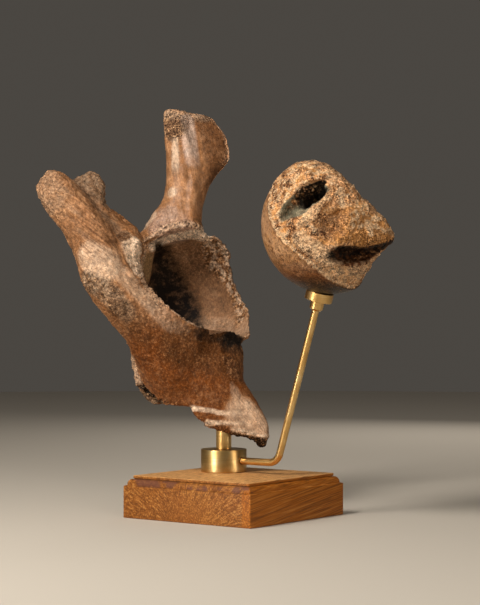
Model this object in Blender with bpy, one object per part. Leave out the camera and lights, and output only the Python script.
"""Fossil hip socket and thigh-bone head of a mammoth, on a brass and oak display stand.

Metres, +Z up. The origin is the centre of the oak base's underside, and X and Y run along the
base's sides. The bones are modelled in the stand's display frame, in which X runs to the right,
Y runs away from the viewer and Z runs up. That frame is turned about Z, so that a corner of the
base faces the viewer.
"""

import math

import bmesh
import bpy
from mathutils import Matrix, Vector

# Fit and display frame
GAP = 0.0003  # between pieces that touch
DISPLAY_TURN = math.radians(37)

# Oak base: a block with a quarter-round moulding and a thin slab above a narrow groove
BASE_HALF = 0.0865
BASE_FACE_TOP = 0.0352
BASE_EDGE = 0.0006
OVOLO_FOOT_HALF = 0.0837
OVOLO_TOP_HALF = 0.0794
OVOLO_FOOT = 0.0358
OVOLO_TOP = 0.0424
GROOVE_HALF = 0.0776
SLAB_HALF = 0.0788
SLAB_FOOT = 0.0430
BASE_TOP = 0.0462

# Brass boss, post and bent rod
BOSS_X = -0.029
BOSS_Y = 0.019
BOSS_RADIUS = 0.0255
BOSS_HEIGHT = 0.025
BOSS_CHAMFER = 0.0006
POST_RADIUS = 0.0086
POST_SEAT = 0.008  # depth of the post in the boss
POST_TOP = 0.128
ROD_RADIUS = 0.004
ROD_START = 0.013  # from the boss axis
ROD_HEIGHT = 0.0593
ROD_CORNER_X = 0.045
ROD_BEND_RADIUS = 0.015
ROD_LEAN = math.radians(16.9)

# Turned brass cup under the ball
CUP_TOP_HEIGHT = 0.2468
CUP_RADIUS = 0.0151
CUP_DEPTH = 0.0100
COLLAR_RADIUS = 0.0074
COLLAR_LENGTH = 0.0113
COLLAR_CHAMFER = 0.0022
COLLAR_BORE_DEPTH = 0.013

# Hip socket, in the display frame
RIM_CENTRE = Vector((-0.0445, 0.060, 0.2545))
SOCKET_AXIS = Vector((0.574, -0.515, 0.634)).normalized()
SOCKET_RADIUS = 0.072
SOCKET_WALL = 0.012  # at the bottom of the bowl
RIM_WALL = 0.006
SOCKET_DEPTH = 0.008  # of the sphere's centre under the rim
# The rim's height above its own plane, every 22.5 degrees from its lower right end: the near side,
# the notch and the far side
RIM_HEIGHTS = (
    -0.002, 0.001, 0.004, 0.003, 0.002, -0.001, -0.004, -0.008,
    -0.014, -0.004, 0.006, 0.023, 0.014, 0.002, -0.003, 0.003,
)
# The rim's reach from its centre, every 45 degrees
RIM_REACH = (0.98, 1.0, 1.0, 1.0, 1.0, 1.0, 1.0, 0.97)

# Bars of bone: right, away, up, half width across the view, half depth
OUTER_WALL = (
    (-0.210, 0.010, 0.371, 0.013, 0.014),
    (-0.204, 0.010, 0.366, 0.019, 0.019),
    (-0.195, 0.010, 0.356, 0.022, 0.022),
    (-0.183, 0.010, 0.342, 0.023, 0.023),
    (-0.170, 0.009, 0.325, 0.023, 0.024),
    (-0.159, 0.008, 0.307, 0.024, 0.026),
    (-0.150, 0.007, 0.288, 0.026, 0.029),
    (-0.143, 0.008, 0.267, 0.028, 0.033),
    (-0.128, 0.013, 0.245, 0.0265, 0.037),
    (-0.105, 0.020, 0.223, 0.031, 0.038),
    (-0.083, 0.028, 0.203, 0.033, 0.038),
    (-0.058, 0.034, 0.187, 0.034, 0.036),
    (-0.034, 0.038, 0.172, 0.029, 0.030),
)
ISCHIUM_FLANGE = (
    (-0.173, 0.036, 0.376, 0.016, 0.008),
    (-0.169, 0.036, 0.370, 0.020, 0.010),
    (-0.164, 0.036, 0.360, 0.020, 0.012),
    (-0.157, 0.036, 0.348, 0.017, 0.014),
    (-0.149, 0.036, 0.337, 0.016, 0.016),
    (-0.138, 0.037, 0.326, 0.016, 0.019),
    (-0.127, 0.038, 0.313, 0.018, 0.022),
    (-0.117, 0.038, 0.298, 0.018, 0.026),
    (-0.112, 0.038, 0.285, 0.013, 0.024),
)
ISCHIUM_WEB = (
    (-0.186, 0.026, 0.363, 0.020, 0.012),
    (-0.172, 0.026, 0.345, 0.024, 0.015),
    (-0.156, 0.026, 0.321, 0.025, 0.020),
    (-0.140, 0.032, 0.296, 0.029, 0.028),
    (-0.126, 0.046, 0.272, 0.030, 0.036),
)
PUBIS_BAR = (
    (-0.074, 0.098, 0.289, 0.041, 0.026),
    (-0.072, 0.102, 0.307, 0.038, 0.025),
    (-0.070, 0.106, 0.325, 0.033, 0.022),
    (-0.066, 0.109, 0.337, 0.030, 0.020),
    (-0.062, 0.112, 0.348, 0.025, 0.018),
    (-0.059, 0.114, 0.358, 0.023, 0.018),
    (-0.059, 0.118, 0.375, 0.021, 0.017),
    (-0.061, 0.121, 0.395, 0.019, 0.016),
    (-0.063, 0.124, 0.416, 0.018, 0.015),
    (-0.066, 0.127, 0.436, 0.017, 0.014),
    (-0.068, 0.130, 0.457, 0.016, 0.013),
    (-0.070, 0.132, 0.471, 0.015, 0.012),
)
PUBIS_FAN = (
    (-0.049, 0.116, 0.348, 0.014, 0.014),
    (-0.045, 0.119, 0.365, 0.014, 0.014),
    (-0.041, 0.122, 0.382, 0.020, 0.013),
    (-0.037, 0.125, 0.398, 0.029, 0.012),
    (-0.036, 0.128, 0.413, 0.028, 0.011),
    (-0.038, 0.130, 0.429, 0.026, 0.011),
    (-0.043, 0.132, 0.446, 0.021, 0.010),
    (-0.047, 0.134, 0.466, 0.016, 0.010),
)
ILIUM_BLADE = (
    (-0.063, 0.048, 0.213, 0.058, 0.044),
    (-0.060, 0.045, 0.196, 0.064, 0.042),
    (-0.052, 0.042, 0.179, 0.064, 0.037),
    (-0.051, 0.038, 0.163, 0.062, 0.032),
    (-0.050, 0.034, 0.147, 0.061, 0.028),
    (-0.043, 0.032, 0.134, 0.063, 0.025),
    (-0.034, 0.030, 0.122, 0.060, 0.022),
    (-0.025, 0.028, 0.108, 0.059, 0.019),
    (-0.017, 0.028, 0.095, 0.056, 0.016),
    (-0.007, 0.028, 0.079, 0.045, 0.013),
)
ILIUM_FRONT = (
    (-0.098, 0.012, 0.212, 0.028, 0.028),
    (-0.086, 0.014, 0.190, 0.030, 0.026),
    (-0.076, 0.017, 0.167, 0.032, 0.023),
    (-0.068, 0.020, 0.145, 0.032, 0.019),
    (-0.058, 0.024, 0.128, 0.028, 0.014),
)
MEDIAL_WALL = (
    (-0.079, 0.106, 0.311, 0.036, 0.024),
    (-0.081, 0.108, 0.282, 0.055, 0.033),
    (-0.074, 0.102, 0.249, 0.064, 0.038),
    (-0.064, 0.086, 0.217, 0.066, 0.038),
    (-0.055, 0.064, 0.187, 0.062, 0.033),
)
NOTCH_CUT = (
    (-0.098, 0.084, 0.308, 0.009, 0.012),
    (-0.098, 0.062, 0.291, 0.010, 0.018),
    (-0.094, 0.050, 0.270, 0.010, 0.020),
    (-0.085, 0.046, 0.254, 0.010, 0.016),
)
BROKEN_HOLLOW_CUT = (
    (-0.115, 0.044, 0.157, 0.010, 0.008),
    (-0.099, 0.044, 0.134, 0.012, 0.010),
    (-0.077, 0.042, 0.123, 0.012, 0.010),
    (-0.047, 0.040, 0.110, 0.009, 0.008),
)
# Broken lower edge of the ilium, right and up, from its left end to its tip
BROKEN_EDGE = (
    (-0.122, 0.157),
    (-0.110, 0.138),
    (-0.097, 0.126),
    (-0.087, 0.121),
    (-0.064, 0.121),
    (-0.046, 0.119),
    (-0.038, 0.107),
    (-0.018, 0.096),
    (0.009, 0.090),
    (0.023, 0.084),
    (0.035, 0.073),
    (0.062, 0.071),
)
BROKEN_EDGE_FLOOR = 0.050
BROKEN_EDGE_MARGIN = 0.030
BROKEN_EDGE_REACH = 0.120
PUBIS_BREAK_POINT = Vector((-0.060, 0.130, 0.4575))
PUBIS_BREAK_NORMAL = Vector((0.16, 0.10, 0.98)).normalized()

# Head of the thigh bone, in the display frame
BALL_CENTRE = Vector((0.1035, -0.057, 0.3185))
BALL_RADIUS = 0.0745
BREAK_NORMAL = Vector((0.70, -0.50, 0.51)).normalized()
BREAK_OFFSET = -0.0185
NECK_CENTRE = Vector((-0.0012, 0.0, 0.0002))
NECK_RADIUS = 0.0715
# Flat breaks of the neck: outward normal and distance from the ball's centre
NECK_BREAKS = (
    (Vector((0.742, -0.12, 0.66)), 0.0425),
    (Vector((0.30, -0.12, 0.94)), 0.0622),
    (Vector((0.80, -0.10, -0.58)), 0.0635),
    (Vector((0.40, -0.88, 0.22)), 0.0600),
    (Vector((0.64, 0.76, 0.10)), 0.0480),
)
# Rounded cuts in the neck: centre from the ball's centre, half sizes and roll
NECK_CUTS = {
    "cavity": (Vector((-0.032, -0.058, 0.023)), (0.033, 0.026, 0.0130), math.radians(-34)),
    "basin": (Vector((0.002, -0.086, 0.001)), (0.032, 0.030, 0.0220), math.radians(-30)),
    "undercut": (Vector((0.042, -0.050, -0.032)), (0.044, 0.036, 0.0090), math.radians(-4)),
}

# Mesh settings
BONE_VOXEL = 0.003
BONE_SMOOTHING = 0.5
HIP_SMOOTH_PASSES = 14
HIP_TRIANGLE_SHARE = 0.115
NECK_SMOOTH_PASSES = 3
NECK_TRIANGLE_SHARE = 0.09
RING_POINTS = 20
TURNED_STEPS = 40
ROD_SIDES = 20
BEND_STEPS = 10
OVOLO_STEPS = 6
BOWL_STEPS_AROUND = 48
BOWL_STEPS_DOWN = 12
SMOOTH_ANGLE = math.radians(35)  # edges sharper than this stay crisp

# Colours from the finished pieces, linear
OAK_COLOUR = (0.36, 0.18, 0.07, 1.0)
BRASS_COLOUR = (0.66, 0.43, 0.16, 1.0)
HIP_COLOUR = (0.30, 0.15, 0.07, 1.0)
HEAD_COLOUR = (0.40, 0.22, 0.10, 1.0)


def clear_scene():
    """Remove every object of the open scene."""
    for old in list(bpy.data.objects):
        bpy.data.objects.remove(old, do_unlink=True)


def make_material(name, colour, roughness, metallic):
    """Return a Principled material."""
    material = bpy.data.materials.new(name)
    material.use_nodes = True
    shader = material.node_tree.nodes["Principled BSDF"]
    shader.inputs["Base Color"].default_value = colour
    shader.inputs["Roughness"].default_value = roughness
    shader.inputs["Metallic"].default_value = metallic
    return material


def make_object(name, mesh_builder, material=None, parent=None):
    """Turn a bmesh into an object, with its faces pointing out."""
    bmesh.ops.recalc_face_normals(mesh_builder, faces=mesh_builder.faces)
    mesh = bpy.data.meshes.new(name)
    mesh_builder.to_mesh(mesh)
    mesh_builder.free()
    if material:
        mesh.materials.append(material)
    made = bpy.data.objects.new(name, mesh)
    bpy.context.collection.objects.link(made)
    made.parent = parent
    return made


def make_guide(made):
    """Mark an object as a cutter or a guide."""
    made.hide_render = True
    made.display_type = "WIRE"
    return made


def shade_round(made):
    """Shade a round piece smooth, with its real edges sharp."""
    made.data.shade_smooth()
    made.data.set_sharp_from_angle(angle=SMOOTH_ANGLE)


def add_boolean(made, cutter, operation="DIFFERENCE"):
    """Cut a piece with another object, or join the two."""
    step = made.modifiers.new(operation.title() + " " + cutter.name, "BOOLEAN")
    step.operation = operation
    step.solver = "EXACT"
    step.object = cutter
    return step


def fuse_and_soften(made, passes):
    """Fuse overlapping shapes into one skin and soften their joins."""
    fuse = made.modifiers.new("Fuse", "REMESH")
    fuse.mode = "VOXEL"
    fuse.voxel_size = BONE_VOXEL
    fuse.use_smooth_shade = True
    soften = made.modifiers.new("Soften", "SMOOTH")
    soften.factor = BONE_SMOOTHING
    soften.iterations = passes


def reduce_triangles(made, share):
    """Keep only a share of the triangles, most of them where the surface bends."""
    reduce = made.modifiers.new("Reduce", "DECIMATE")
    reduce.ratio = share
    reduce.use_collapse_triangulate = True


def bridge_rings(builder, rings, closed_ends=True):
    """Join rings of vertices into a skin, with a face at each end."""
    for lower, upper in zip(rings, rings[1:]):
        for index, corner in enumerate(lower):
            after = (index + 1) % len(lower)
            builder.faces.new((corner, lower[after], upper[after], upper[index]))
    if closed_ends:
        builder.faces.new(tuple(reversed(rings[0])))
        builder.faces.new(rings[-1])


def bar_builder(stations, level=False):
    """Loft an oval bar through its stations, each ring level or else square to the bar's line."""
    builder = bmesh.new()
    centres = [Vector(station[:3]) for station in stations]
    rings = []
    for index, station in enumerate(stations):
        before = centres[max(index - 1, 0)]
        after = centres[min(index + 1, len(centres) - 1)]
        along = Vector((0, 0, 1)) if level else (after - before).normalized()
        across = Vector((0, 1, 0)).cross(along).normalized()
        deep = along.cross(across)
        ring = []
        for step in range(RING_POINTS):
            angle = math.tau * step / RING_POINTS
            offset = across * station[3] * math.cos(angle) + deep * station[4] * math.sin(angle)
            ring.append(builder.verts.new(centres[index] + offset))
        rings.append(ring)
    bridge_rings(builder, rings)
    return builder


def turned_builder(profile):
    """Turn a closed outline of (radius, height) about Z; a radius of 0 is the axis."""
    steps = TURNED_STEPS
    builder = bmesh.new()
    rings = []
    for radius, height in profile:
        if radius == 0:
            rings.append([builder.verts.new((0, 0, height))])
            continue
        ring = []
        for step in range(steps):
            angle = math.tau * step / steps
            ring.append(builder.verts.new((radius * math.cos(angle), radius * math.sin(angle), height)))
        rings.append(ring)
    for lower, upper in zip(rings, rings[1:]):
        for index in range(steps):
            after = (index + 1) % steps
            if len(lower) == 1:
                builder.faces.new((lower[0], upper[after], upper[index]))
            elif len(upper) == 1:
                builder.faces.new((lower[index], lower[after], upper[0]))
            else:
                builder.faces.new((lower[index], lower[after], upper[after], upper[index]))
    return builder


def ellipsoid_builder(centre, half_sizes, roll=0.0, divisions=4):
    """Return a rounded cutter, rolled about the line of sight."""
    builder = bmesh.new()
    bmesh.ops.create_icosphere(builder, subdivisions=divisions, radius=1.0)
    place = Matrix.Translation(centre) @ Matrix.Rotation(roll, 4, "Y")
    place = place @ Matrix.Diagonal((*half_sizes, 1.0))
    bmesh.ops.transform(builder, matrix=place, verts=builder.verts)
    return builder


def quarter_round(foot, top):
    """Return the points of a convex quarter-round from its foot to its top."""
    points = []
    for step in range(OVOLO_STEPS + 1):
        angle = math.pi / 2 * step / OVOLO_STEPS
        half = top[0] + (foot[0] - top[0]) * math.cos(angle)
        points.append((half, foot[1] + (top[1] - foot[1]) * math.sin(angle)))
    return points


def make_oak_base(material):
    """Stack mitred squares up the moulded outline of the base."""
    outline = [(BASE_HALF - BASE_EDGE, 0.0), (BASE_HALF, BASE_EDGE)]
    outline += [(BASE_HALF, BASE_FACE_TOP - BASE_EDGE), (BASE_HALF - BASE_EDGE, BASE_FACE_TOP)]
    outline += quarter_round((OVOLO_FOOT_HALF, OVOLO_FOOT), (OVOLO_TOP_HALF, OVOLO_TOP))
    outline += [(GROOVE_HALF, OVOLO_TOP), (GROOVE_HALF, SLAB_FOOT), (SLAB_HALF, SLAB_FOOT)]
    outline += [(SLAB_HALF, BASE_TOP - BASE_EDGE), (SLAB_HALF - BASE_EDGE, BASE_TOP)]
    builder = bmesh.new()
    rings = []
    for half, height in outline:
        corners = ((-half, -half), (half, -half), (half, half), (-half, half))
        rings.append([builder.verts.new((x, y, height)) for x, y in corners])
    bridge_rings(builder, rings)
    return make_object("oak_base", builder, material)


def make_post(material):
    """Stand the plain round post in the boss."""
    foot = BASE_TOP + GAP + BOSS_HEIGHT - POST_SEAT
    profile = ((0, foot), (POST_RADIUS, foot), (POST_RADIUS, POST_TOP), (0, POST_TOP))
    post = make_object("brass_post", turned_builder(profile), material)
    post.location = (BOSS_X, BOSS_Y, 0)
    shade_round(post)
    return post


def rod_rise():
    """Return the direction of the leaning part of the rod."""
    return Vector((math.sin(ROD_LEAN), 0, math.cos(ROD_LEAN)))


def cup_top():
    """Return the middle of the cup's top, on the line of the rod."""
    corner = Vector((ROD_CORNER_X, BOSS_Y, ROD_HEIGHT))
    return corner + rod_rise() * (CUP_TOP_HEIGHT - ROD_HEIGHT) / rod_rise().z


def rod_path():
    """Return the rod's centre line: out of the boss, round one bend and up at a lean."""
    corner = Vector((ROD_CORNER_X, BOSS_Y, ROD_HEIGHT))
    turn = math.pi / 2 - ROD_LEAN
    tangent = ROD_BEND_RADIUS * math.tan(turn / 2)
    bend_centre = corner + Vector((-tangent, 0, ROD_BEND_RADIUS))
    path = [Vector((BOSS_X + ROD_START, BOSS_Y, ROD_HEIGHT))]
    for step in range(BEND_STEPS + 1):
        angle = turn * step / BEND_STEPS
        swing = Vector((math.sin(angle), 0, -math.cos(angle)))
        path.append(bend_centre + swing * ROD_BEND_RADIUS)
    bore_end = CUP_DEPTH + COLLAR_LENGTH - COLLAR_BORE_DEPTH + GAP
    path.append(cup_top() - rod_rise() * bore_end)
    return path


def make_rod(name, radius, material, path):
    """Sweep a round rod along its path."""
    builder = bmesh.new()
    rings = []
    for index, centre in enumerate(path):
        before = path[max(index - 1, 0)]
        after = path[min(index + 1, len(path) - 1)]
        along = (after - before).normalized()
        side = Vector((0, 1, 0))
        upward = along.cross(side)
        ring = []
        for step in range(ROD_SIDES):
            angle = math.tau * step / ROD_SIDES
            spoke = side * math.cos(angle) + upward * math.sin(angle)
            ring.append(builder.verts.new(centre + spoke * radius))
        rings.append(ring)
    bridge_rings(builder, rings)
    rod = make_object(name, builder, material)
    shade_round(rod)
    return rod


def make_boss(material, path):
    """Turn the boss, then bore it for the post and the rod."""
    foot = BASE_TOP + GAP
    top = foot + BOSS_HEIGHT
    edge = BOSS_RADIUS - BOSS_CHAMFER
    profile = (
        (0, foot),
        (edge, foot),
        (BOSS_RADIUS, foot + BOSS_CHAMFER),
        (BOSS_RADIUS, top - BOSS_CHAMFER),
        (edge, top),
        (0, top),
    )
    boss = make_object("brass_boss", turned_builder(profile), material)
    boss.location = (BOSS_X, BOSS_Y, 0)
    bore_foot = top - POST_SEAT - GAP
    bore_top = top + BOSS_HEIGHT
    bore_radius = POST_RADIUS + GAP
    bore = ((0, bore_foot), (bore_radius, bore_foot), (bore_radius, bore_top), (0, bore_top))
    post_bore = make_guide(make_object("post_bore_cutter", turned_builder(bore)))
    post_bore.location = boss.location
    add_boolean(boss, post_bore)
    start = path[0] - Vector((GAP, 0, 0))
    rod_bore = make_guide(make_rod("rod_bore_cutter", ROD_RADIUS + GAP, None, [start, path[1]]))
    add_boolean(boss, rod_bore)
    shade_round(boss)
    return boss


def make_ball_cup(material, seat_centre):
    """Turn the cup and its collar, bore them for the rod and dish the top for the ball."""
    foot = -CUP_DEPTH - COLLAR_LENGTH
    bore = ROD_RADIUS + GAP
    profile = (
        (bore, foot),
        (COLLAR_RADIUS - COLLAR_CHAMFER, foot),
        (COLLAR_RADIUS, foot + COLLAR_CHAMFER),
        (COLLAR_RADIUS, -CUP_DEPTH),
        (CUP_RADIUS - BOSS_CHAMFER, -CUP_DEPTH),
        (CUP_RADIUS, -CUP_DEPTH + BOSS_CHAMFER),
        (CUP_RADIUS, 0.0),
        (0, 0.0),
    )
    builder = turned_builder(profile)
    inner = turned_builder(((0, foot + COLLAR_BORE_DEPTH), (bore, foot + COLLAR_BORE_DEPTH), (bore, foot)))
    scratch = bpy.data.meshes.new("collar_bore")
    inner.to_mesh(scratch)
    inner.free()
    builder.from_mesh(scratch)
    bpy.data.meshes.remove(scratch)
    bmesh.ops.remove_doubles(builder, verts=builder.verts, dist=GAP / 10)
    cup = make_object("ball_cup", builder, material)
    cup.location = cup_top()
    cup.rotation_euler = (0, ROD_LEAN, 0)
    seat_size = (BALL_RADIUS + GAP * 1.5,) * 3
    seat = make_guide(make_object("ball_seat_cutter", ellipsoid_builder((0, 0, 0), seat_size, 0, 4)))
    seat.location = seat_centre
    add_boolean(cup, seat)
    shade_round(cup)
    return cup


def eased(values, angle):
    """Return the value at an angle, eased between values listed at equal angles."""
    place = (angle % math.tau) / math.tau * len(values)
    index = int(place) % len(values)
    share = (1 - math.cos(math.pi * (place - int(place)))) / 2
    return values[index] * (1 - share) + values[(index + 1) % len(values)] * share


def socket_builder():
    """Build the solid bowl that the socket is cut into, thinning to its uneven rim."""
    right = Vector((0, 1, 0)).cross(SOCKET_AXIS).normalized()
    near = right.cross(SOCKET_AXIS)
    centre = RIM_CENTRE - SOCKET_AXIS * SOCKET_DEPTH
    around = BOWL_STEPS_AROUND
    down = BOWL_STEPS_DOWN
    builder = bmesh.new()
    columns = []
    for step in range(around):
        angle = math.tau * step / around
        spoke = right * math.cos(angle) + near * math.sin(angle)
        spoke *= eased(RIM_REACH, angle)
        rim_level = math.asin((SOCKET_DEPTH + eased(RIM_HEIGHTS, angle)) / SOCKET_RADIUS)
        column = []
        for row in range(down):
            share = row / down
            level = rim_level - share * (rim_level + math.pi / 2)
            wall = RIM_WALL + (SOCKET_WALL - RIM_WALL) * min(1, share * 2)
            direction = spoke * math.cos(level) + SOCKET_AXIS * math.sin(level)
            column.append(builder.verts.new(centre + direction * (SOCKET_RADIUS + wall)))
        columns.append(column)
    lid = builder.verts.new(RIM_CENTRE)
    pole = builder.verts.new(centre - SOCKET_AXIS * (SOCKET_RADIUS + SOCKET_WALL))
    for step in range(around):
        here = columns[step]
        after = columns[(step + 1) % around]
        for row in range(down - 1):
            builder.faces.new((here[row], after[row], after[row + 1], here[row + 1]))
        builder.faces.new((here[-1], after[-1], pole))
        builder.faces.new((here[0], after[0], lid))
    return builder


def trim(builder, point, normal):
    """Cut off what lies beyond a plane and close the cut."""
    everything = list(builder.verts) + list(builder.edges) + list(builder.faces)
    bmesh.ops.bisect_plane(
        builder, geom=everything, plane_co=point, plane_no=normal, clear_outer=True
    )
    open_edges = [edge for edge in builder.edges if edge.is_boundary]
    if open_edges:
        bmesh.ops.contextual_create(builder, geom=open_edges)
    return builder


def broken_edge_builder():
    """Build the block below the ilium's broken edge, from front to back."""
    outer = BROKEN_EDGE[0][0] - BROKEN_EDGE_MARGIN
    outline = list(BROKEN_EDGE)
    outline += [(BROKEN_EDGE[-1][0], BROKEN_EDGE_FLOOR), (outer, BROKEN_EDGE_FLOOR)]
    outline += [(outer, BROKEN_EDGE[0][1])]
    builder = bmesh.new()
    rings = [
        [builder.verts.new((right, away, up)) for right, up in outline]
        for away in (-BROKEN_EDGE_REACH, BROKEN_EDGE_REACH)
    ]
    bridge_rings(builder, rings)
    return builder


def join_builders(builders):
    """Put several closed shapes into one bmesh."""
    joined = bmesh.new()
    for builder in builders:
        bmesh.ops.recalc_face_normals(builder, faces=builder.faces)
        scratch = bpy.data.meshes.new("part_of_bone")
        builder.to_mesh(scratch)
        builder.free()
        joined.from_mesh(scratch)
        bpy.data.meshes.remove(scratch)
    return joined


def make_hip_bone(material, display, post):
    """Fuse the bowl and the bars, hollow the socket and open the broken edge."""
    shapes = [socket_builder()]
    shapes += [bar_builder(bar) for bar in (OUTER_WALL, ISCHIUM_FLANGE, ISCHIUM_WEB, MEDIAL_WALL)]
    shapes += [bar_builder(bar, level=True) for bar in (ILIUM_BLADE, ILIUM_FRONT)]
    for bar in (PUBIS_BAR, PUBIS_FAN):
        shapes.append(trim(bar_builder(bar, level=True), PUBIS_BREAK_POINT, PUBIS_BREAK_NORMAL))
    builder = join_builders(shapes)
    bone = make_object("hip_bone", builder, material, display)
    fuse_and_soften(bone, HIP_SMOOTH_PASSES)
    centre = RIM_CENTRE - SOCKET_AXIS * SOCKET_DEPTH
    hollow = ellipsoid_builder(centre, (SOCKET_RADIUS,) * 3, 0, 4)
    cutters = (
        ("socket_cutter", hollow),
        ("notch_cutter", bar_builder(NOTCH_CUT)),
        ("broken_edge_cutter", broken_edge_builder()),
        ("broken_hollow_cutter", bar_builder(BROKEN_HOLLOW_CUT)),
    )
    for name, cutter_builder in cutters:
        cutter = make_guide(make_object(name, cutter_builder, None, display))
        add_boolean(bone, cutter)
    reduce_triangles(bone, HIP_TRIANGLE_SHARE)
    clearance = POST_RADIUS + GAP
    top = POST_TOP + GAP
    profile = ((0, BASE_TOP), (clearance, BASE_TOP), (clearance, top), (0, top))
    drill = make_guide(make_object("post_drill_cutter", turned_builder(profile)))
    drill.location = post.location
    add_boolean(bone, drill)
    return bone


def make_femoral_head(material, display):
    """Join the ball's smooth side to its broken neck, then hollow both."""
    ball = bmesh.new()
    bmesh.ops.create_icosphere(ball, subdivisions=4, radius=BALL_RADIUS)
    trim(ball, BREAK_NORMAL * BREAK_OFFSET, BREAK_NORMAL)
    head = make_object("femoral_head", ball, material, display)
    head.location = BALL_CENTRE

    neck_builder = bmesh.new()
    bmesh.ops.create_icosphere(neck_builder, subdivisions=4, radius=NECK_RADIUS)
    bmesh.ops.translate(neck_builder, verts=neck_builder.verts, vec=NECK_CENTRE)
    for normal, distance in NECK_BREAKS:
        direction = normal.normalized()
        trim(neck_builder, direction * distance, direction)
    neck = make_guide(make_object("broken_neck", neck_builder, None, display))
    neck.location = BALL_CENTRE
    for name, (centre, half_sizes, roll) in NECK_CUTS.items():
        cutter_builder = ellipsoid_builder(centre, half_sizes, roll, 3)
        cutter = make_guide(make_object(name + "_cutter", cutter_builder, None, display))
        cutter.location = BALL_CENTRE
        add_boolean(neck, cutter)
    fuse_and_soften(neck, NECK_SMOOTH_PASSES)
    reduce_triangles(neck, NECK_TRIANGLE_SHARE)
    add_boolean(head, neck, "UNION")
    shade_round(head)
    return head


def main():
    clear_scene()
    oak = make_material("oak", OAK_COLOUR, 0.55, 0.0)
    boss_brass = make_material("boss_brass", BRASS_COLOUR, 0.32, 1.0)
    post_brass = make_material("post_brass", BRASS_COLOUR, 0.28, 1.0)
    rod_brass = make_material("rod_brass", BRASS_COLOUR, 0.30, 1.0)
    cup_brass = make_material("cup_brass", BRASS_COLOUR, 0.28, 1.0)
    hip_stone = make_material("hip_fossil", HIP_COLOUR, 0.75, 0.0)
    head_stone = make_material("head_fossil", HEAD_COLOUR, 0.80, 0.0)

    display = bpy.data.objects.new("display_frame", None)
    display.rotation_euler = (0, 0, DISPLAY_TURN)
    bpy.context.collection.objects.link(display)

    make_oak_base(oak)
    post = make_post(post_brass)
    path = rod_path()
    make_boss(boss_brass, path)
    make_rod("brass_rod", ROD_RADIUS, rod_brass, path)
    ball_centre = Matrix.Rotation(DISPLAY_TURN, 3, "Z") @ BALL_CENTRE
    make_ball_cup(cup_brass, ball_centre)
    make_hip_bone(hip_stone, display, post)
    make_femoral_head(head_stone, display)


main()
